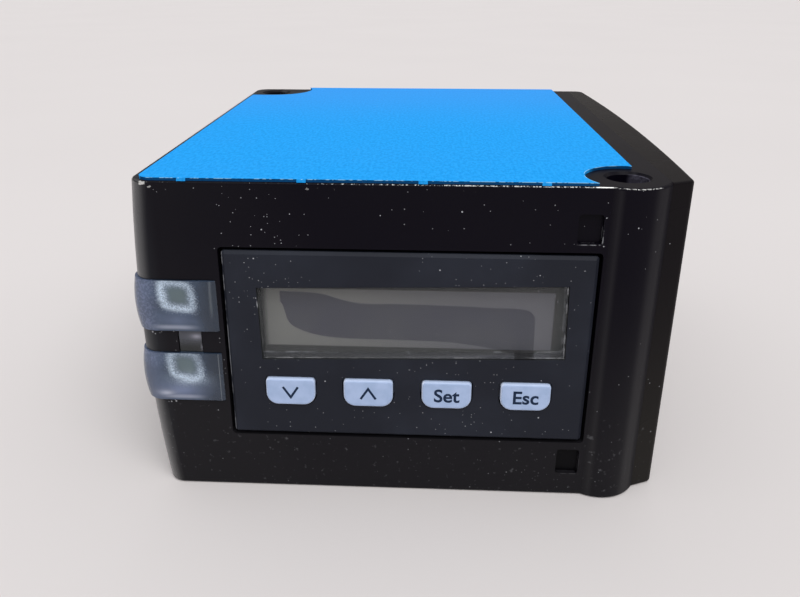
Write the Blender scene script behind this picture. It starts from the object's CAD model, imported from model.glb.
import math

import bmesh
import bpy
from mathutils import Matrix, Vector


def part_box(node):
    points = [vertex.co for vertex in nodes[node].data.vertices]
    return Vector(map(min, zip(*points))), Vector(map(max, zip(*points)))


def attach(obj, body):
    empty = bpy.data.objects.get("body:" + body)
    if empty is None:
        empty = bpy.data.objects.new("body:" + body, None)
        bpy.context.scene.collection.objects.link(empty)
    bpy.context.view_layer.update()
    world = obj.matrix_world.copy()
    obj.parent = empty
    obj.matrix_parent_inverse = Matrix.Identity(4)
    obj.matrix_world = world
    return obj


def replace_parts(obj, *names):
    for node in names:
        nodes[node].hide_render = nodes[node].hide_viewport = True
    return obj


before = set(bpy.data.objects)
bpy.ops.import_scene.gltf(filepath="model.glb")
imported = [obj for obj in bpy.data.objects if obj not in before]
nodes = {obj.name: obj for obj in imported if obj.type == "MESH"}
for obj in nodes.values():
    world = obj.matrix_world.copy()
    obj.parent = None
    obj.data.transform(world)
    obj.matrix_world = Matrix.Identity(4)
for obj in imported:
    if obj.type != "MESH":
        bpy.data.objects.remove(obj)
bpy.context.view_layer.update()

# Lengths below are in millimetres and become metres where Blender takes them.
# A pair of places along an axis is where a soft edge starts and ends, or the two sides of a band.
MM = 0.001

# Camera: place, aim and lens of the photograph
picture_width = 800
picture_height = 597
camera_place = (1.339, -102.327, 54.763)
camera_pitch = 0.37367
camera_yaw = 0.05028
lens_pixels = 755.8
axis_pixel = (388.0, 268.5)
film_width = 36.0
nearest_view = 5.0

# Light
sky_strength = 0.86
sky_top = (0.97, 0.98, 1.0, 1.0)
sky_rim = (0.2, 0.185, 0.17, 1.0)
sky_foot = (0.88, 0.86, 0.85, 1.0)
sky_top_rise = (0.25, 0.8)
sky_foot_fall = (0.02, 0.14)
sun_from = (0.18, -0.55, 0.8)
sun_strength = 1.8
sun_spread = 50.0
floor_size = 9000.0
floor_drop = 0.03

# Print on the keys
print_thickness = 0.03
chevron_width = 1.62
chevron_height = 1.25
chevron_stroke = 0.25
letter_size = 2.15
letter_weight = 0.045
letter_steps = 6

# Cable connector: thread, flange, seal groove and bores
thread_radius = 6.0
thread_root = 5.42
thread_pitch = 1.0
thread_runout = 0.6
thread_crest = ((0.0, thread_radius), (0.125, thread_radius))
thread_form = thread_crest + ((0.4375, thread_root), (0.6875, thread_root))
flange_radius = 8.0
flange_back = 31.35
flange_front = 33.35
flange_ease = 0.25
neck_radius = 5.5
groove_radii = (6.0, 7.2)
groove_depth = 0.8
socket_radius = 4.3
socket_floor = 34.75
insert_radius = 4.05

# Cover screws
screw_head_radius = 2.3
screw_head_height = 1.05
screw_shank_radius = 1.25
screw_point = 0.35
hex_flats = 1.6
hex_depth = 0.9

# Meshes made here
turn_steps = 72
weld_distance = 0.00001
sharp_angle = math.radians(32)


def tone(red, green, blue):
    """Linear colour of a screen colour from 0 to 255."""

    def linear(level):
        share = level / 255
        if share <= 0.04045:
            return share / 12.92
        return ((share + 0.055) / 1.055) ** 2.4

    return (linear(red), linear(green), linear(blue), 1.0)


def set_points(mapping, points):
    """Gives a curve its points, from the first to the last."""
    curve = mapping.curves[0]
    while len(curve.points) < len(points):
        curve.points.new(0.5, 0.5)
    for point, place in zip(curve.points, points):
        point.location = place
    mapping.update()


class Wire:
    """A socket of a shading. Sums, products and comparisons of values become Math nodes."""

    def __init__(self, shading, socket):
        self.shading = shading
        self.socket = socket

    def math(self, operation, *terms):
        return self.shading.node("ShaderNodeMath", {"operation": operation}, dict(enumerate(terms)))

    def __add__(self, other):
        return self.math("ADD", self, other)

    def __radd__(self, other):
        return self.math("ADD", other, self)

    def __sub__(self, other):
        return self.math("SUBTRACT", self, other)

    def __rsub__(self, other):
        return self.math("SUBTRACT", other, self)

    def __mul__(self, other):
        return self.math("MULTIPLY", self, other)

    def __rmul__(self, other):
        return self.math("MULTIPLY", other, self)

    def __truediv__(self, other):
        return self.math("DIVIDE", self, other)

    def __pow__(self, other):
        return self.math("POWER", self, other)

    def __abs__(self):
        return self.math("ABSOLUTE", self)

    def __or__(self, other):
        """The larger of two values."""
        return self.math("MAXIMUM", self, other)

    def __lt__(self, other):
        return self.math("LESS_THAN", self, other)

    def rise(self, low, high):
        """0 below low, 1 above high and a smooth slope between."""
        settings = {"interpolation_type": "SMOOTHSTEP"}
        return self.shading.node("ShaderNodeMapRange", settings, {"Value": self, 1: low, 2: high})

    def fall(self, low, high):
        """1 below low, 0 above high and a smooth slope between."""
        return 1 - self.rise(low, high)

    def within(self, low, high, soft):
        """1 between low and high, with soft ends."""
        return self.rise(low - soft, low + soft) * self.fall(high - soft, high + soft)

    def also(self, output):
        """Another output of the same node."""
        return Wire(self.shading, self.socket.node.outputs[output])


class Shading:
    """The nodes of a material or of the sky."""

    def __init__(self, owner):
        owner.use_nodes = True
        self.tree = owner.node_tree
        self.tree.nodes.clear()

    def node(self, kind, settings=None, sockets=None, output=0):
        """Adds a node: its settings first, then the values or links of its sockets."""
        node = self.tree.nodes.new(kind)
        for name, value in (settings or {}).items():
            if name == "points":
                set_points(node.mapping, value)
            else:
                setattr(node, name, value)
        for name, value in (sockets or {}).items():
            if isinstance(value, Wire):
                self.tree.links.new(value.socket, node.inputs[name])
            else:
                node.inputs[name].default_value = value
        return Wire(self, node.outputs[output]) if node.outputs else None

    def mix(self, share, first, second):
        """Colour between two colours."""
        settings = {"data_type": "RGBA"}
        return self.node("ShaderNodeMix", settings, {0: share, 6: first, 7: second}, output=2)


class Finish(Shading):
    """A material in the making, with the place on the part in millimetres."""

    def __init__(self, name):
        self.material = bpy.data.materials.new(name)
        super().__init__(self.material)
        where = self.node("ShaderNodeTexCoord", output="Object")
        scale = {"Vector": where, "Scale": 1 / MM}
        self.at = self.node("ShaderNodeVectorMath", {"operation": "SCALE"}, scale)
        self.x = self.node("ShaderNodeSeparateXYZ", sockets={0: self.at})
        self.y = self.x.also("Y")
        self.z = self.x.also("Z")
        facing = where.also("Normal")
        self.facing_x = self.node("ShaderNodeSeparateXYZ", sockets={0: facing})
        self.facing_y = self.facing_x.also("Y")
        self.facing_z = self.facing_x.also("Z")

    def nothing(self):
        """0 everywhere, to add marks to."""
        return self.x * 0

    def front(self, low, high):
        """1 where the surface faces the display side, 0 where it is turned away."""
        return (0 - self.facing_y).rise(low, high)

    def plane(self, across, up):
        return self.node("ShaderNodeCombineXYZ", sockets={0: across, 1: up})

    def noise(self, scale, detail=2.0, at=None):
        """Noise with a number of waves per millimetre."""
        sockets = {"Vector": at or self.at, "Scale": scale, "Detail": detail}
        return self.node("ShaderNodeTexNoise", {"noise_dimensions": "3D"}, sockets)

    def curve(self, value, points):
        return self.node("ShaderNodeFloatCurve", {"points": points}, {"Value": value})

    def specks(self, across, up, cell, share, size):
        """Scattered specks on a plane: one in a share of the cells, each up to a size across."""
        settings = {"voronoi_dimensions": "2D", "feature": "F1"}
        sockets = {"Vector": self.plane(across, up), "Scale": 1 / cell}
        near = self.node("ShaderNodeTexVoronoi", settings, sockets, output="Distance")
        chance = self.node("ShaderNodeSeparateColor", sockets={0: near.also("Color")})
        reach = (0.35 + 0.65 * chance.also("Green")) * (size / 2)
        return (chance < share) * (reach - near * cell).rise(-0.1 * size, 0.1 * size)

    def edge_on(self):
        """0 where the surface faces the viewer and 1 at a grazing angle."""
        return self.node("ShaderNodeLayerWeight", sockets={"Blend": 0.5}, output="Facing")

    def bump(self, height, depth):
        """Normal of a relief whose full height is a depth in millimetres."""
        return self.node("ShaderNodeBump", sockets={"Height": height, "Distance": depth * MM})

    def surface(self, **sockets):
        named = {name.replace("_", " "): value for name, value in sockets.items()}
        return self.node("ShaderNodeBsdfPrincipled", sockets=named)

    def done(self, shader):
        self.node("ShaderNodeOutputMaterial", sockets={"Surface": shader})
        return self.material


# Front mounting hole and the plate's notch around it, in plan
front_hole = (21.6, -27.55)
notch_middle = (21.6, -28.55)
notch_radius = 4.45

# Square recesses in the display face: their wear and shade, the lower one first
mark_x = 17.6
mark_z = (4.35, 31.35)
mark_size = (2.45, 3.1)
mark_wear = (0.15, 1.0)
mark_shade = (0.85, 0.2)

# Chips along the upper display edge and at the rear corner
edge_z = (35.55, 35.63)
edge_y = (-31.2, -31.05)
edge_wear_x = ((-10.0, -6.0), (2.0, 6.0))
edge_notch_x = (17.7, 19.4)
face_y = (-31.2, -31.1)
nick_z = (35.0, 35.4)
nick_fade_x = (-12.0, 10.0)
corner_chip_x = (-26.75, -26.05)
corner_chip_y = (-30.6, -30.3)
corner_chip_z = (35.12, 35.42)

# Paint where it is rubbed, pale or smudged
boss_x = (17.0, 18.0)
rear_corner_x = (-24.0, -22.0)
pale_corner_x = (-28.6, -25.4)
rear_fade_x = (-28.0, -8.0)
lamp_gap_z = (16.9, 19.4)
foot_fade_z = (2.0, 30.0)
smudge_z = (8.0, 13.0)
bore_wall = (2.12, 2.2)
bore_wear_x = (21.9, 22.8)
bore_wear_z = (24.0, 33.0)

# Blue plate
plate_fade_y = (-10.0, 31.0)
plate_edge_y = (-31.16, -31.1)
plate_lip_z = (35.93, 35.98)
lip_wear_x = (2.0, 8.0)
notch_lip = (notch_radius + 0.03, notch_radius + 0.09)

# Dust and bare metal: patches of dust have a place and a reach across the display face
lamp_flecks = ((-27.0, 19.15), (-26.0, 10.75))
lamp_fleck_reach = (1.0, 0.35)
lamp_fleck_y = (-28.0, -26.0)
upper_patch = ((-15.5, 30.5), (8.0, 5.5))
lamp_patch = ((-19.8, 19.0), (0.8, 9.0))
panel_patch = ((-15.0, 26.0), (7.0, 5.0))
panel_fleck = ((-15.72, 22.75), (0.16, 0.55))
panel_rub_x = (-19.16, -19.08)
dust_colour = tone(196, 198, 204)
bare_metal = tone(214, 214, 212)

# Finishes of the outside


def dust_on(finish, across, up, amount):
    """Fine and coarse dust on a plane, thicker in patches."""
    patches = amount * finish.noise(0.08, 3.0).rise(0.3, 0.7)
    fine = finish.specks(across, up, cell=0.31, share=0.055 * patches, size=0.12)
    coarse = finish.specks(across, up, cell=1.0, share=0.1 * patches, size=0.16)
    lint = finish.specks(across * 0.4, up, cell=2.3, share=0.05 * amount, size=0.09)
    return fine * 0.5 | coarse * 0.9 | lint * 0.5


def cluster(finish, place, reach):
    """1 in the middle of a patch on the display face, 0 outside its reach."""
    across = (finish.x - place[0]) / reach[0]
    up = (finish.z - place[1]) / reach[1]
    return (across**2 + up**2).fall(0.1, 1.0)


def past_mark(finish, middle):
    """Distance past the outline of a square recess, below 0 inside it."""
    across = abs(finish.x - mark_x) - mark_size[0] / 2
    up = abs(finish.z - middle) - mark_size[1] / 2
    return across | up


def mark_rims(finish):
    """Worn rims of the two square recesses, most at their lower and right sides."""
    rims = finish.nothing()
    for middle, wear in zip(mark_z, mark_wear):
        corner = ((finish.x - mark_x) - (finish.z - middle)).rise(0.2, 1.2)
        rims = rims | past_mark(finish, middle).within(-0.02, 0.09, 0.03) * corner * wear
    return rims * finish.noise(1.6, 3.0).rise(0.42, 0.6)


def mark_floors(finish):
    """Shade in the two square recesses, deep in the lower one."""
    floors = finish.nothing()
    for middle, shade in zip(mark_z, mark_shade):
        floors = floors | past_mark(finish, middle).fall(-0.1, 0.0) * shade
    return floors


def away_from(finish, place):
    """Distance in plan from a place on the side face."""
    sockets = {0: finish.plane(finish.x, finish.y), 1: (place[0], place[1], 0.0)}
    return finish.node("ShaderNodeVectorMath", {"operation": "DISTANCE"}, sockets, output="Value")


def paint_chips(finish):
    """Bare metal along the upper display edge, on the boss and at the rear corner."""
    edge = finish.z.within(*edge_z, 0.03) * finish.y.fall(*edge_y)
    spots = finish.noise(5.0, 2.0)
    wear = 0.13 * finish.x.rise(*edge_wear_x[0]) - 0.06 + 0.07 * finish.x.rise(*edge_wear_x[1])
    line = edge * (spots + wear).rise(0.58, 0.72) * 0.7
    notch = edge * finish.x.within(*edge_notch_x, 0.15)
    below = finish.z.within(*nick_z, 0.1) * finish.y.fall(*face_y)
    nicks = below * finish.noise(1.7, 2.0).rise(0.69, 0.73) * finish.x.fall(*nick_fade_x)
    ragged = 0.45 * (finish.noise(2.5, 3.0) - 0.17)
    corner = (finish.x + ragged).within(*corner_chip_x, 0.08) * finish.y.fall(*corner_chip_y)
    corner = corner * (finish.z - ragged).within(*corner_chip_z, 0.06)
    return line | notch | nicks * 0.5 | corner


def rubbed_gloss(finish):
    """Paint rubbed smooth on the rear corner, less between the lamps, and a little on the boss."""
    turned = finish.facing_x
    boss = finish.x.rise(*boss_x)
    corner = turned.fall(-0.5, 0.02) * turned.rise(-1.0, -0.75) * finish.x.fall(*rear_corner_x) * 0.92
    corner = corner * (1 - 0.6 * finish.z.within(*lamp_gap_z, 0.1))
    left = turned.within(-0.4, -0.3, 0.08) * boss * 0.17
    right = turned.within(0.45, 0.62, 0.1) * boss * (0.1 + 0.05 * finish.z.fall(*foot_fade_z))
    return (corner + left + right) * finish.front(0.05, 0.3)


def bore_wear(finish):
    """Wall of the front mounting hole where a screw has rubbed it."""
    inside = away_from(finish, front_hole).fall(*bore_wall) * finish.z.rise(*bore_wear_z)
    return inside * finish.x.rise(*bore_wear_x) * (0.5 + 0.5 * finish.noise(2.5, 3.0).rise(0.4, 0.6))


def casting_paint(name, chipped, dark, pale, roughness, gloss_level):
    """Black paint on a casting, paler and smudged towards the foot, with dust on the display side."""
    finish = Finish(name)
    broad = finish.noise(0.08, 3.0)
    grain = finish.noise(5.0, 3.0)
    front = finish.front(0.6, 0.95)
    low = finish.z.fall(*foot_fade_z)
    rear = finish.x.fall(*rear_fade_x)
    colour = finish.mix(low * 0.8 + broad * 0.2 + rear * 0.35, tone(*dark), tone(*pale))
    settled = 0.4 + 1.5 * cluster(finish, *upper_patch) + 4 * cluster(finish, *lamp_patch)
    dust = dust_on(finish, finish.x, finish.z, settled) * front
    for place in lamp_flecks:
        near = cluster(finish, place, lamp_fleck_reach) * finish.y.fall(*lamp_fleck_y)
        dust = dust | finish.specks(finish.x, finish.z, cell=0.4, share=near, size=0.2)
    foot = finish.z.fall(*smudge_z)
    smudges = finish.noise(1.5, 3.0).rise(0.62, 0.78) * foot * front
    colour = finish.mix(dust * (0.8 - 0.45 * foot) | smudges * 0.1, colour, dust_colour)
    metal = 0.0
    gloss = 0.0
    if chipped:
        metal = paint_chips(finish)
        gloss = rubbed_gloss(finish)
        colour = finish.mix(finish.x.fall(*pale_corner_x) * 0.5, colour, tone(56, 59, 64))
        colour = finish.mix(mark_floors(finish), colour, tone(3, 3, 5))
        colour = finish.mix(mark_rims(finish) * front * 0.35, colour, dust_colour)
        colour = finish.mix(bore_wear(finish), colour, tone(86, 84, 98))
        colour = finish.mix(metal, colour, bare_metal)
    dull_edge = finish.facing_x.within(0.75, 0.97, 0.1)
    shader = finish.surface(
        Base_Color=colour,
        Roughness=roughness + 0.1 * broad + 0.3 * dust + 0.3 * dull_edge,
        Metallic=metal * 0.5,
        Specular_IOR_Level=gloss_level,
        Coat_Weight=gloss,
        Coat_Roughness=0.25,
        Coat_IOR=1.8,
        Normal=finish.bump(grain, 0.003),
    )
    return finish.done(shader)


def blue_coat():
    """Blue plate with a fine mottle, scuffs, a dark rim between its tabs and a worn lip."""
    finish = Finish("blue_coat")
    sparkle = finish.noise(7.0, 2.0)
    mottle = finish.noise(3.2, 2.0, finish.plane(finish.x, finish.y * 0.4))
    broad = finish.noise(0.06, 2.0)
    grain = 0.35 * sparkle.rise(0.35, 0.65) + 0.65 * mottle.rise(0.3, 0.7)
    colour = finish.mix(grain, tone(10, 147, 228), tone(42, 172, 252))
    colour = finish.mix(finish.y.rise(*plate_fade_y) * 0.5 + broad * 0.15, colour, tone(70, 152, 238))
    scuff = finish.specks(finish.x * 0.35, finish.y, cell=2.4, share=0.12, size=0.1)
    scuff = scuff | finish.specks(finish.x, finish.y, cell=1.6, share=0.1, size=0.09)
    colour = finish.mix(scuff * 0.5, colour, tone(170, 215, 250))
    rim = finish.front(0.5, 0.8)
    between_tabs = finish.facing_z.fall(0.1, 0.35)
    colour = finish.mix(rim * (0.25 + 0.65 * between_tabs), colour, tone(4, 34, 74))
    lip = finish.z.rise(*plate_lip_z)
    worn = finish.noise(2.2, 3.0) + 0.12 * finish.x.rise(*lip_wear_x)
    front_edge = finish.y.fall(*plate_edge_y) * worn.rise(0.5, 0.6)
    notch_edge = away_from(finish, notch_middle).fall(*notch_lip)
    bright = (front_edge | notch_edge * finish.noise(0.8, 2.0).rise(0.35, 0.5)) * lip
    colour = finish.mix(bright * 0.7, colour, tone(160, 218, 250))
    shader = finish.surface(
        Base_Color=colour,
        Roughness=0.6 + 0.1 * sparkle,
        Specular_IOR_Level=0.03,
        Normal=finish.bump(sparkle, 0.006),
    )
    return finish.done(shader)


def panel_moulding():
    """Dark panel, dusty, with a rubbed left edge and the pale walls of the display opening."""
    finish = Finish("panel_moulding")
    grain = finish.noise(8.0, 2.0)
    haze = finish.noise(0.11, 3.0).rise(0.4, 0.8)
    front = finish.front(0.5, 0.8)
    colour = finish.mix(haze, tone(25, 28, 38), tone(35, 39, 50))
    along, down = pane_axes(finish)
    opening = along.within(*opening_along, 0.001) * down.within(*opening_down, 0.004)
    sill = finish.mix(finish.x.within(*dim_x, 0.15), tone(42, 44, 46), tone(22, 22, 24))
    walls = finish.mix(finish.facing_z.rise(0.5, 0.9), tone(48, 50, 50), sill)
    colour = finish.mix(opening * (1 - front), colour, walls)
    rub = finish.x.fall(*panel_rub_x) * finish.noise(0.8, 3.0).rise(0.4, 0.6)
    settled = 0.9 + 1.4 * cluster(finish, *panel_patch)
    fleck = cluster(finish, *panel_fleck)
    dust = (dust_on(finish, finish.x, finish.z, settled) | fleck) * front
    colour = finish.mix(dust * 0.8 | rub * 0.35, colour, dust_colour)
    shader = finish.surface(
        Base_Color=colour,
        Roughness=0.5 + 0.12 * grain + 0.2 * dust,
        Specular_IOR_Level=0.2,
        Normal=finish.bump(grain, 0.005),
    )
    return finish.done(shader)


def key_moulding():
    """Pale keys with a lighter rim, most on its lower and left sides."""
    finish = Finish("key_moulding")
    cloud = finish.noise(0.7, 3.0)
    grain = finish.noise(12.0, 2.0)
    colour = finish.mix(cloud.rise(0.3, 0.7), tone(160, 181, 216), tone(172, 191, 226))
    rim = 1 - finish.front(0.6, 0.97)
    turned = finish.facing_z.fall(-0.5, -0.1) | finish.facing_x.fall(-0.5, -0.1)
    colour = finish.mix(rim * (0.4 + 0.6 * turned), colour, tone(214, 226, 250))
    shader = finish.surface(
        Base_Color=colour,
        Roughness=0.4 + 0.15 * cloud,
        Specular_IOR_Level=0.3,
        Normal=finish.bump(grain, 0.003),
    )
    return finish.done(shader)


def key_print():
    finish = Finish("key_print")
    wear = finish.noise(6.0, 2.0)
    colour = finish.mix(wear, tone(20, 34, 58), tone(36, 52, 78))
    shader = finish.surface(Base_Color=colour, Roughness=0.5 + 0.1 * wear, Specular_IOR_Level=0.1)
    return finish.done(shader)


# Display: the pane, its opening and its dirt, the field behind it, and the stain in the field.
# The opening, the dirt and the stain are in shares of a length and a height.

pane_middle = (0.23, 20.81)
pane_size = (31.75, 8.1)
pane_turn = math.radians(1.34)
pane_tint = (0.97, 0.97, 0.97, 1.0)
opening_along = (-0.012, 1.012)
opening_down = (-0.05, 1.05)
dirt_left = (0.12, 0.3)
dirt_right = (0.85, 0.92)
dirt_end = (0.993, 0.997)
dirt_foot = (0.975, 0.99)
dim_x = (11.1, 13.1)
border_right = (15.4, 15.6)
field_left = (-15.7, -14.9)
field_right = (14.9, 15.1)
field_fade_x = (-14.0, 12.0)
field_z = (17.3, 23.93)
stain_middle = (0.21, 20.07)
stain_size = (32.44, 8.28)
stain_ends = (0.073, 0.898)
stain_soft = 0.012
stain_top = ((0, 0.03), (0.125, 0.045), (0.207, 0.075), (0.272, 0.155), (0.337, 0.21), (0.452, 0.22))
stain_top += ((0.617, 0.244), (0.782, 0.278), (0.86, 0.296), (0.885, 0.335), (0.9, 0.4), (1, 0.4))
stain_foot = ((0, 0), (0.076, 0.2), (0.091, 0.415), (0.104, 0.505), (0.125, 0.56), (0.15, 0.605))
stain_foot += ((0.19, 0.655), (0.263, 0.697), (0.448, 0.725), (0.616, 0.757), (0.689, 0.793))
stain_foot += ((0.753, 0.84), (0.818, 0.905), (0.86, 0.98), (1, 0.98))


def pane_axes(finish, middle=pane_middle, size=pane_size):
    """Shares of a length from its left end and of a height from its top, askew as the pane is."""
    across = finish.x - middle[0]
    up = finish.z - middle[1]
    along = across * math.cos(pane_turn) + up * math.sin(pane_turn)
    rising = up * math.cos(pane_turn) - across * math.sin(pane_turn)
    return along / size[0] + 0.5, 0.5 - rising / size[1]


def liquid_crystal():
    """Grey display field inside a darker border, with a stain that has spread in it."""
    finish = Finish("liquid_crystal")
    cloud = finish.noise(0.2, 2.0)
    field = finish.x.rise(*field_left) * finish.x.fall(*field_right) * finish.z.within(*field_z, 0.1)
    border = finish.mix(finish.x.rise(*border_right), tone(62, 63, 62), tone(56, 59, 58))
    colour = finish.mix(finish.x.rise(*field_fade_x), tone(121, 122, 119), tone(103, 103, 109))
    colour = finish.mix(field, border, colour)
    stained = finish.mix(cloud.rise(0.35, 0.65), tone(70, 71, 81), tone(76, 77, 84))
    colour = finish.mix(stain_shape(finish), colour, finish.mix(field, tone(28, 28, 29), stained))
    shader = finish.surface(Base_Color=colour, Roughness=0.5 + 0.1 * cloud, Specular_IOR_Level=0.2)
    return finish.done(shader)


def stain_shape(finish):
    """1 inside the outline of the stain in the display."""
    along, down = pane_axes(finish, stain_middle, stain_size)
    under_top = (down - finish.curve(along, stain_top)).rise(-stain_soft, stain_soft)
    over_foot = (finish.curve(along, stain_foot) - down).rise(-stain_soft, stain_soft)
    return under_top * over_foot * along.within(*stain_ends, 0.003)


def glossy_clear(finish, roughness, tint, dirt, sides=0.0):
    """Clear sheet with dirt, a reflection that grows at a grazing angle, and the view through it."""
    edge_on = finish.edge_on()
    mirror = edge_on.rise(0.25, 0.6) * dirt.fall(0.0, 0.1) | sides
    share = (0.03 + 0.5 * edge_on**3) | dirt | sides
    gloss = finish.surface(Base_Color=dust_colour, Roughness=roughness, Metallic=mirror)
    through = finish.node("ShaderNodeBsdfTransparent", sockets={"Color": tint})
    return finish.node("ShaderNodeMixShader", sockets={0: share, 1: through, 2: gloss})


def clear_pane():
    """Display pane with bright edges inside, dust, and a line of dirt along two edges."""
    finish = Finish("clear_pane")
    front = finish.front(0.6, 0.9)
    smear = finish.noise(0.3, 3.0)
    along, down = pane_axes(finish)
    ends = along.fall(*dirt_left) | along.rise(*dirt_right) | finish.noise(1.5, 3.0).rise(0.5, 0.65)
    line = down.rise(*dirt_foot) * ends | along.rise(*dirt_end)
    line = line * finish.noise(1.2, 3.0).rise(0.35, 0.6)
    dust = dust_on(finish, finish.x, finish.z, 0.6) * front
    sides = 0.7 * abs(finish.facing_y).fall(0.3, 0.6) * (1 - 0.9 * finish.x.within(*dim_x, 0.15))
    dirt = dust * 0.5 | line * front * 0.3
    return finish.done(glossy_clear(finish, 0.12 + 0.1 * smear, pane_tint, dirt, sides))


# Status lamps: clear moulding with a frosted ring over each light guide

ring_places = ((-24.04, 15.35), (-24.2, 23.52))
ring_half = (1.7, 1.5)
ring_lean = 0.12
ring_skew = 0.1
ring_foot_levels = (1.0, 0.95)
ring_crown_levels = (0.6, 1.0)
core_shift = (0.16, 0.1)
core_share = 0.77
ring_grade = (-1.1, 0.9)
dome_z = (13.935, 22.305)
dome_half = 2.9
dome_foot = (0.3, 0.75)
dome_crown = (3.6, 5.2)
foot_shine_x = (-26.6, -22.8)
lamp_wrap_x = (-27.8, -25.6)
facet_shade_x = (-22.85, -20.75)
facet_line_x = (-20.42, -20.38)
facet_line_z = (17.0, 18.0)
facet_sheen_x = (-20.72, -20.5)
facet_sheen_z = (20.4, 22.4)
bridge_z = (16.8, 19.45)
bridge_fade_z = (17.2, 18.8)

# Bright places in the clear moulding: level, place and reach
bridge_glints = ((0.7, (-22.6, 18.7), (0.9, 0.45)), (0.5, (-22.1, 17.4), (0.2, 0.5)))
body_glints = ((0.75, (-24.6, 12.4), (3.4, 1.6)), (0.35, (-24.4, 20.7), (3.0, 1.3)))
corner_glints = ((0.95, (-26.4, 12.0), (1.3, 0.55)),)
ring_glints = ((0.8, (-23.7, 13.8), (2.2, 0.9)),)


def ring_distance(finish, place):
    """0 in the middle of a leaning square with round corners and 1 on its outline."""
    aside = finish.x - place[0]
    up = finish.z - place[1]
    across = abs(aside + ring_lean * up) / ring_half[0]
    rise = abs(up + ring_skew * aside) / ring_half[1]
    return (across**4 + rise**4) ** 0.25


def glints(finish, marks):
    """Bright places that fade without an edge."""
    bright = finish.nothing()
    for level, place, reach in marks:
        across = (finish.x - place[0]) / reach[0]
        up = (finish.z - place[1]) / reach[1]
        bright = bright | level * (1 + across**2 + up**2) ** -3
    return bright


def lamp_bridge(finish):
    """Bridge between the domes, darker towards the lower one."""
    colour = finish.mix(finish.z.rise(*bridge_fade_z), tone(30, 35, 37), tone(84, 87, 98))
    return finish.mix(glints(finish, bridge_glints), colour, tone(188, 188, 204))


def lamp_body(finish, cloud):
    """Blue-grey moulding, paler round the corner and along each foot, dark past the facet."""
    front = finish.front(0.5, 0.85)
    foot = finish.nothing()
    crown = finish.nothing()
    dome = finish.nothing()
    for middle in dome_z:
        up = finish.z - middle + dome_half
        foot = foot | up.within(*dome_foot, 0.2)
        crown = crown | up.rise(*dome_crown)
        dome = dome | up.within(0.0, 2 * dome_half, 0.05)
    colour = finish.mix(cloud.rise(0.35, 0.65), tone(62, 78, 100), tone(78, 96, 122))
    flecks = finish.noise(4.0, 2.0).rise(0.45, 0.6)
    wrap = finish.x.fall(*lamp_wrap_x) * (0.3 + 0.1 * crown + 0.4 * crown * flecks)
    colour = finish.mix(wrap, colour, tone(136, 148, 184))
    past = finish.x.rise(*facet_shade_x) * front
    colour = finish.mix(past * 0.85, colour, tone(42, 54, 70))
    colour = finish.mix(glints(finish, body_glints), colour, tone(150, 166, 208))
    shine = 0.55 * foot * finish.x.within(*foot_shine_x, 1.2)
    colour = finish.mix(shine | glints(finish, corner_glints), colour, tone(214, 222, 244))
    line = finish.x.within(*facet_line_x, 0.05) * finish.z.fall(*facet_line_z) * 0.8
    sheen = finish.x.within(*facet_sheen_x, 0.12) * finish.z.rise(*facet_sheen_z) * 0.25
    colour = finish.mix((line | sheen) * front, colour, tone(168, 176, 182))
    return finish.mix(dome, lamp_bridge(finish), colour)


def lamp_moulding():
    """Clear moulding with a frosted, grainy ring and a dull core over each light."""
    finish = Finish("lamp_moulding")
    grain = finish.noise(8.0, 1.0)
    cloud = finish.noise(0.45, 3.0)
    front = finish.front(0.5, 0.85)
    ring = finish.nothing()
    core = finish.nothing()
    soft = 0.5 + 0.5 * grain.rise(0.4, 0.6)
    flecks = grain.rise(0.52, 0.62)
    ragged = 0.26 * (grain - 0.5)
    for place, foot_level, crown_level in zip(ring_places, ring_foot_levels, ring_crown_levels):
        core_place = (place[0] + core_shift[0], place[1] + core_shift[1])
        outer = ring_distance(finish, place) + ragged
        inner = ring_distance(finish, core_place) / core_share + ragged
        band = outer.fall(0.82, 1.3) * inner.rise(0.5, 1.5) * soft
        band = band | outer.within(0.85, 1.2, 0.3) * flecks * 0.75
        upper = (finish.z - place[1]).rise(*ring_grade)
        ring = ring | band * (foot_level + (crown_level - foot_level) * upper)
        core = core | inner.fall(0.4, 1.1)
    ring = ring | glints(finish, ring_glints) * soft
    on_bridge = finish.z.within(*bridge_z, 0.03)
    frost = ring * front * (1 - on_bridge) * (0.85 + 0.15 * finish.noise(0.9, 2.0).rise(0.35, 0.6))
    colour = finish.mix(core * front * 0.8, lamp_body(finish, cloud), tone(118, 136, 140))
    clear = finish.surface(
        Base_Color=colour,
        Roughness=0.16 + 0.12 * cloud,
        Transmission_Weight=0.4,
        IOR=1.49,
        Normal=finish.bump(cloud, 0.03),
    )
    frosted = finish.surface(Base_Color=tone(218, 236, 255), Roughness=0.6)
    shader = finish.node("ShaderNodeMixShader", sockets={0: frost, 1: clear, 2: frosted})
    return finish.done(shader)


# Finishes of the other sides and of what is inside


def moulding(name, dark, pale, roughness):
    """Moulded plastic or rubber with a fine grain."""
    finish = Finish(name)
    grain = finish.noise(6.0, 3.0)
    cloud = finish.noise(0.25, 2.0)
    shader = finish.surface(
        Base_Color=finish.mix(cloud, tone(*dark), tone(*pale)),
        Roughness=roughness + 0.15 * grain,
        Normal=finish.bump(grain, 0.004),
    )
    return finish.done(shader)


def plated(name, dark, pale, roughness):
    """Bright metal with fine turning marks and a little tarnish."""
    finish = Finish(name)
    marks = finish.noise(8.0, 2.0)
    tarnish = finish.noise(0.5, 3.0)
    shader = finish.surface(
        Base_Color=finish.mix(tarnish.rise(0.3, 0.8), tone(*pale), tone(*dark)),
        Roughness=roughness + 0.12 * tarnish,
        Metallic=1.0,
        Normal=finish.bump(marks, 0.003),
    )
    return finish.done(shader)


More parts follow.
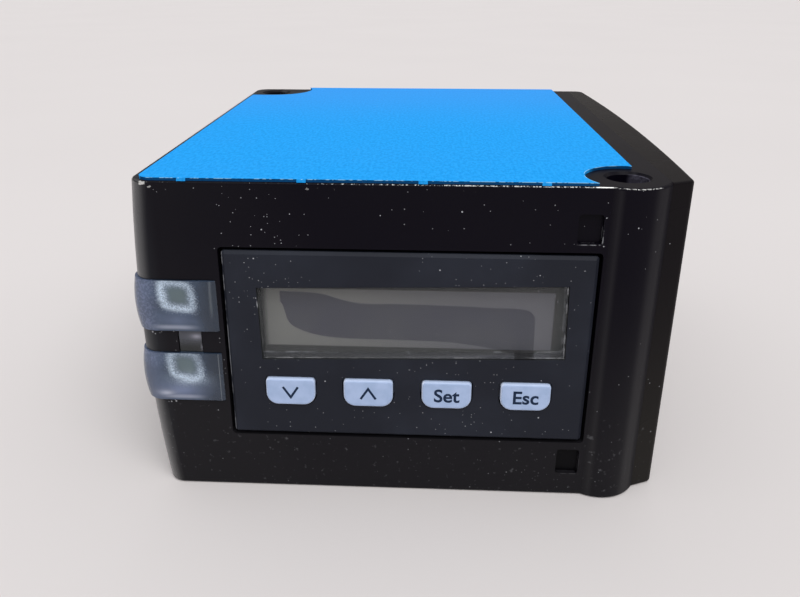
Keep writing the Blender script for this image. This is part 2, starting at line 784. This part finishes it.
def circuit_board(name):
    """Green solder mask with raised tracks and a weave that shows through."""
    finish = Finish(name)
    settings = {"voronoi_dimensions": "3D", "feature": "DISTANCE_TO_EDGE", "distance": "EUCLIDEAN"}
    cells = finish.node("ShaderNodeTexVoronoi", settings, {"Vector": finish.at, "Scale": 0.45})
    tracks = cells.fall(0.05, 0.08)
    weave = finish.noise(3.0, 1.0)
    colour = finish.mix(tracks * 0.6, tone(16, 78, 46), tone(42, 118, 70))
    shader = finish.surface(
        Base_Color=finish.mix(weave * 0.3, colour, tone(10, 60, 36)),
        Roughness=0.32 + 0.1 * weave,
        Normal=finish.bump(tracks, 0.02),
    )
    return finish.done(shader)


def optical_glass(name, tint):
    """Polished glass that lets the light through, with a faint haze."""
    finish = Finish(name)
    haze = finish.noise(0.4, 2.0)
    return finish.done(glossy_clear(finish, 0.04 + 0.06 * haze, tone(*tint), haze * 0.04))


def dress(material, *names):
    """Gives parts of the frame a material of their own."""
    for name in names:
        slots = nodes[name].data.materials
        slots.clear()
        slots.append(material)


def dress_outside():
    dress(casting_paint("housing_paint", True, (7, 4, 15), (29, 28, 31), 0.3, 0.08), "housing")
    dress(casting_paint("cover_paint", False, (20, 17, 20), (37, 35, 33), 0.22, 0.04), "front_cover")
    dress(blue_coat(), "side_plate")
    dress(panel_moulding(), "display_panel")
    dress(key_moulding(), "key_down", "key_up", "key_set", "key_esc")
    dress(clear_pane(), "display_window")
    dress(liquid_crystal(), "lcd_glass")
    dress(lamp_moulding(), "status_lens")
    dress(optical_glass("tinted_window", (120, 112, 116)), "front_window")


def dress_inside():
    black = moulding("black_moulding", (18, 18, 20), (30, 30, 33), 0.45)
    dress(black, "optics_carrier", "board_header", "key_switches", "connector_insert")
    rubber = moulding("seal_rubber", (20, 20, 20), (34, 34, 34), 0.6)
    dress(rubber, "front_seal", "display_seal", "connector_seal")
    dress(moulding("chip_moulding", (30, 30, 32), (48, 48, 50), 0.4), "main_board_components")
    dress(moulding("socket_moulding", (196, 188, 168), (216, 208, 190), 0.4), "flex_sockets")
    dress(moulding("backlight_moulding", (212, 214, 204), (230, 230, 222), 0.45), "lcd_backlight")
    dress(moulding("lamp_chip", (214, 206, 150), (232, 228, 190), 0.3), "status_leds")
    dress(moulding("plunger_moulding", (150, 40, 34), (176, 60, 50), 0.4), *plunger_names())
    film = moulding("flex_film", (150, 88, 24), (186, 118, 40), 0.3)
    dress(film, "display_flex", "laser_flex", "connector_flex")
    screws = ("laser_board_screws", "receiver_board_screws", "main_board_screws", "display_board_screws")
    dress(plated("screw_steel", (110, 110, 112), (176, 176, 178), 0.28), *screws)
    can = plated("can_metal", (150, 146, 132), (206, 202, 190), 0.22)
    dress(can, "laser_diode", "photodetector", "shield_can")
    dress(plated("nut_nickel", (140, 138, 130), (200, 198, 190), 0.25), "connector_nut")
    dress(plated("contact_gold", (170, 120, 40), (226, 184, 96), 0.2), "connector_pins")
    boards = ("laser_board", "receiver_board", "main_board", "display_board", "connector_board")
    dress(circuit_board("circuit_board"), *boards)
    dress(optical_glass("lens_glass", (226, 236, 240)), "receiver_lens", "collimator_lens")
    dress(optical_glass("filter_glass", (150, 40, 46)), "optical_filter")


def plunger_names():
    return [name for name in nodes if name.startswith("plunger_")]


# Pieces that the casting and the mouldings leave to this script


def add_piece(name, mesh, material, body):
    piece = bpy.data.objects.new(name, mesh)
    bpy.context.scene.collection.objects.link(piece)
    mesh.materials.clear()
    mesh.materials.append(material)
    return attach(piece, body)


def mesh_from(name, shape):
    """Mesh of a bmesh, with clean normals and smooth faces inside its sharp edges."""
    bmesh.ops.remove_doubles(shape, verts=shape.verts, dist=weld_distance * MM)
    bmesh.ops.dissolve_degenerate(shape, edges=shape.edges, dist=weld_distance * MM)
    bmesh.ops.recalc_face_normals(shape, faces=shape.faces)
    mesh = bpy.data.meshes.new(name)
    shape.to_mesh(mesh)
    shape.free()
    mesh.shade_smooth()
    mesh.set_sharp_from_angle(angle=sharp_angle)
    return mesh


def key_face(node):
    """Middle of a key's front face, in metres."""
    low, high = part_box(node)
    return Vector(((low.x + high.x) / 2, low.y, (low.z + high.z) / 2))


def chevron_mesh(name, middle, upwards):
    """Open arrow stroke that stands a print's thickness above the key."""
    half = chevron_width / 2
    rise = chevron_height / 2
    slope = math.atan2(chevron_height, half)
    up = chevron_stroke / 2 / math.cos(slope)
    side = chevron_stroke / 2 * math.sin(slope)
    lift = chevron_stroke / 2 * math.cos(slope)
    outline = [
        (-half - side, rise - lift),
        (0, -rise - up),
        (half + side, rise - lift),
        (half - side, rise + lift),
        (0, -rise + up),
        (-half + side, rise + lift),
    ]
    flip = -1 if upwards else 1
    shape = bmesh.new()
    rings = []
    for depth in (-print_thickness / 2, print_thickness / 2):
        points = [middle + Vector((x, depth, z * flip)) * MM for x, z in outline]
        rings.append([shape.verts.new(point) for point in points])
    for first in range(len(outline)):
        second = (first + 1) % len(outline)
        shape.faces.new((rings[0][first], rings[0][second], rings[1][second], rings[1][first]))
    for ring in rings:
        shape.faces.new((ring[0], ring[1], ring[4], ring[5]))
        shape.faces.new((ring[1], ring[2], ring[3], ring[4]))
    return mesh_from(name, shape)


def letter_mesh(name, words, middle):
    """Letters as a mesh on the key's face."""
    curve = bpy.data.curves.new(name, "FONT")
    curve.body = words
    curve.size = letter_size * MM
    curve.offset = letter_weight * MM
    curve.extrude = print_thickness / 2 * MM
    curve.align_x = "CENTER"
    curve.resolution_u = letter_steps
    holder = bpy.data.objects.new(name, curve)
    bpy.context.scene.collection.objects.link(holder)
    bpy.context.view_layer.update()
    mesh = bpy.data.meshes.new_from_object(holder.evaluated_get(bpy.context.evaluated_depsgraph_get()))
    bpy.data.objects.remove(holder)
    tops = [vertex.co.y for vertex in mesh.vertices]
    lift = (max(tops) + min(tops)) / 2
    for vertex in mesh.vertices:
        flat = vertex.co.copy()
        vertex.co = middle + Vector((flat.x, -flat.z, flat.y - lift))
    return mesh


def add_key_print():
    ink = key_print()
    words = {"key_set": "Set", "key_esc": "Esc"}
    for key in ("key_down", "key_up", "key_set", "key_esc"):
        name = key.replace("key", "legend")
        if key in words:
            mesh = letter_mesh(name, words[key], key_face(key))
        else:
            mesh = chevron_mesh(name, key_face(key), key == "key_up")
        add_piece(name, mesh, ink, key + "_set")


def turn(shape, middle, axes, stations):
    """Adds a form turned about the first axis: stations(share of a turn) lists (place along it, radius)."""
    along, first, second = axes
    lines = []
    for step in range(turn_steps + 1):
        angle = 2 * math.pi * step / turn_steps
        out = first * math.cos(angle) + second * math.sin(angle)
        outline = stations(step / turn_steps)
        points = [middle + (along * place + out * radius) * MM for place, radius in outline]
        lines.append([shape.verts.new(point) for point in points])
    for line, following in zip(lines, lines[1:]):
        for index in range(len(line) - 1):
            shape.faces.new((line[index], line[index + 1], following[index + 1], following[index]))


def shell_stations(back, tip):
    """Outline of the connector shell from the neck's end round the thread and back through the bore."""
    start = flange_front + thread_runout
    stop = tip - thread_runout
    turns = math.ceil((stop - start) / thread_pitch)

    def stations(share):
        outline = [(back, insert_radius), (back, neck_radius), (flange_back, neck_radius)]
        outline += [(flange_back, groove_radii[0]), (flange_back + groove_depth, groove_radii[0])]
        outline += [(flange_back + groove_depth, groove_radii[1]), (flange_back, groove_radii[1])]
        outline += [(flange_back, flange_radius), (flange_front - flange_ease, flange_radius)]
        outline += [(flange_front, flange_radius - flange_ease)]
        outline += [(flange_front, thread_root), (start, thread_root)]
        for number in range(-1, turns + 1):
            for part, radius in thread_form:
                place = start + thread_pitch * (number + part + share)
                inside = start < place < stop
                outline.append((min(max(place, start), stop), radius if inside else thread_root))
        outline += [(tip, thread_root), (tip, socket_radius), (socket_floor, socket_radius)]
        return outline + [(socket_floor, insert_radius), (back, insert_radius)]

    return stations


def add_connector_shell():
    low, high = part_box("connector_shell")
    middle = Vector(((low.x + high.x) / 2, 0, (low.z + high.z) / 2))
    shape = bmesh.new()
    axes = (Vector((0, 1, 0)), Vector((0, 0, 1)), Vector((1, 0, 0)))
    turn(shape, middle, axes, shell_stations(low.y / MM, high.y / MM))
    nickel = plated("shell_nickel", (150, 148, 140), (206, 204, 196), 0.24)
    mesh = mesh_from("threaded_shell", shape)
    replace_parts(add_piece("threaded_shell", mesh, nickel, "sensor"), "connector_shell")


def screw_stations(length):
    """Outline of a countersunk screw from its point to the floor of its hexagon."""

    def stations(share):
        sector = (share * 6) % 1 - 0.5
        hexagon = hex_flats / 2 / math.cos(sector * math.pi / 3)
        outline = [(-length, 0.0), (-length, screw_shank_radius - screw_point)]
        outline += [(screw_point - length, screw_shank_radius), (-screw_head_height, screw_shank_radius)]
        outline += [(0.0, screw_head_radius), (0.0, hexagon)]
        return outline + [(-hex_depth, hexagon), (-hex_depth, 0.0)]

    return stations


def add_cover_screws():
    low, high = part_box("front_cover_screws")
    reach = screw_head_radius * MM
    axes = (Vector((1, 0, 0)), Vector((0, 1, 0)), Vector((0, 0, 1)))
    shape = bmesh.new()
    for y in (low.y + reach, high.y - reach):
        for z in (low.z + reach, high.z - reach):
            turn(shape, Vector((high.x, y, z)), axes, screw_stations((high.x - low.x) / MM))
    steel = plated("cover_screw_steel", (60, 60, 62), (96, 96, 98), 0.3)
    mesh = mesh_from("hexagon_screws", shape)
    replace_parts(add_piece("hexagon_screws", mesh, steel, "sensor"), "front_cover_screws")


dress_outside()
dress_inside()
add_key_print()
add_connector_shell()
add_cover_screws()


# Floor, light and camera


def add_floor():
    finish = Finish("pale_floor")
    cloud = finish.noise(0.01, 2.0)
    matte = finish.surface(
        Base_Color=finish.mix(cloud, tone(216, 211, 210), tone(220, 215, 214)),
        Roughness=0.85,
        Specular_IOR_Level=0.1,
    )
    below = finish.node("ShaderNodeNewGeometry", output="Backfacing")
    clear = finish.node("ShaderNodeBsdfTransparent")
    material = finish.done(finish.node("ShaderNodeMixShader", sockets={0: below, 1: matte, 2: clear}))
    half = floor_size / 2 * MM
    mesh = bpy.data.meshes.new("floor")
    corners = [(-half, -half), (half, -half), (half, half), (-half, half)]
    mesh.from_pydata([(x, y, -floor_drop * MM) for x, y in corners], [], [(0, 1, 2, 3)])
    mesh.materials.append(material)
    floor = bpy.data.objects.new("floor", mesh)
    bpy.context.scene.collection.objects.link(floor)


def add_sky():
    """Soft light from all sides, brightest overhead, that meets the floor in its own tone."""
    world = bpy.data.worlds.new("studio")
    bpy.context.scene.world = world
    sky = Shading(world)
    towards = sky.node("ShaderNodeTexCoord", output="Generated")
    height = sky.node("ShaderNodeSeparateXYZ", sockets={0: towards}, output="Z")
    colour = sky.mix(height.rise(*sky_top_rise), sky_rim, sky_top)
    colour = sky.mix(height.fall(*sky_foot_fall), colour, sky_foot)
    light = sky.node("ShaderNodeBackground", sockets={"Color": colour, "Strength": sky_strength})
    sky.node("ShaderNodeOutputWorld", sockets={"Surface": light})


def add_sun():
    """Wide soft light from above the front, the same all over the floor."""
    light = bpy.data.lights.new("sun", "SUN")
    light.energy = sun_strength
    light.angle = math.radians(sun_spread)
    holder = bpy.data.objects.new("sun", light)
    holder.rotation_euler = Vector(sun_from).to_track_quat("Z", "Y").to_euler()
    bpy.context.scene.collection.objects.link(holder)


def add_camera():
    lens = bpy.data.cameras.new("camera")
    lens.sensor_width = film_width
    lens.lens = lens_pixels * film_width / picture_width
    lens.shift_x = (picture_width / 2 - axis_pixel[0]) / picture_width
    lens.shift_y = (axis_pixel[1] - picture_height / 2) / picture_width
    lens.clip_start = nearest_view * MM
    camera = bpy.data.objects.new("camera", lens)
    camera.location = Vector(camera_place) * MM
    camera.rotation_euler = (math.pi / 2 - camera_pitch, 0, camera_yaw)
    bpy.context.scene.collection.objects.link(camera)
    bpy.context.scene.camera = camera


add_floor()
add_sky()
add_sun()
add_camera()
bpy.context.scene.view_settings.view_transform = "Standard"
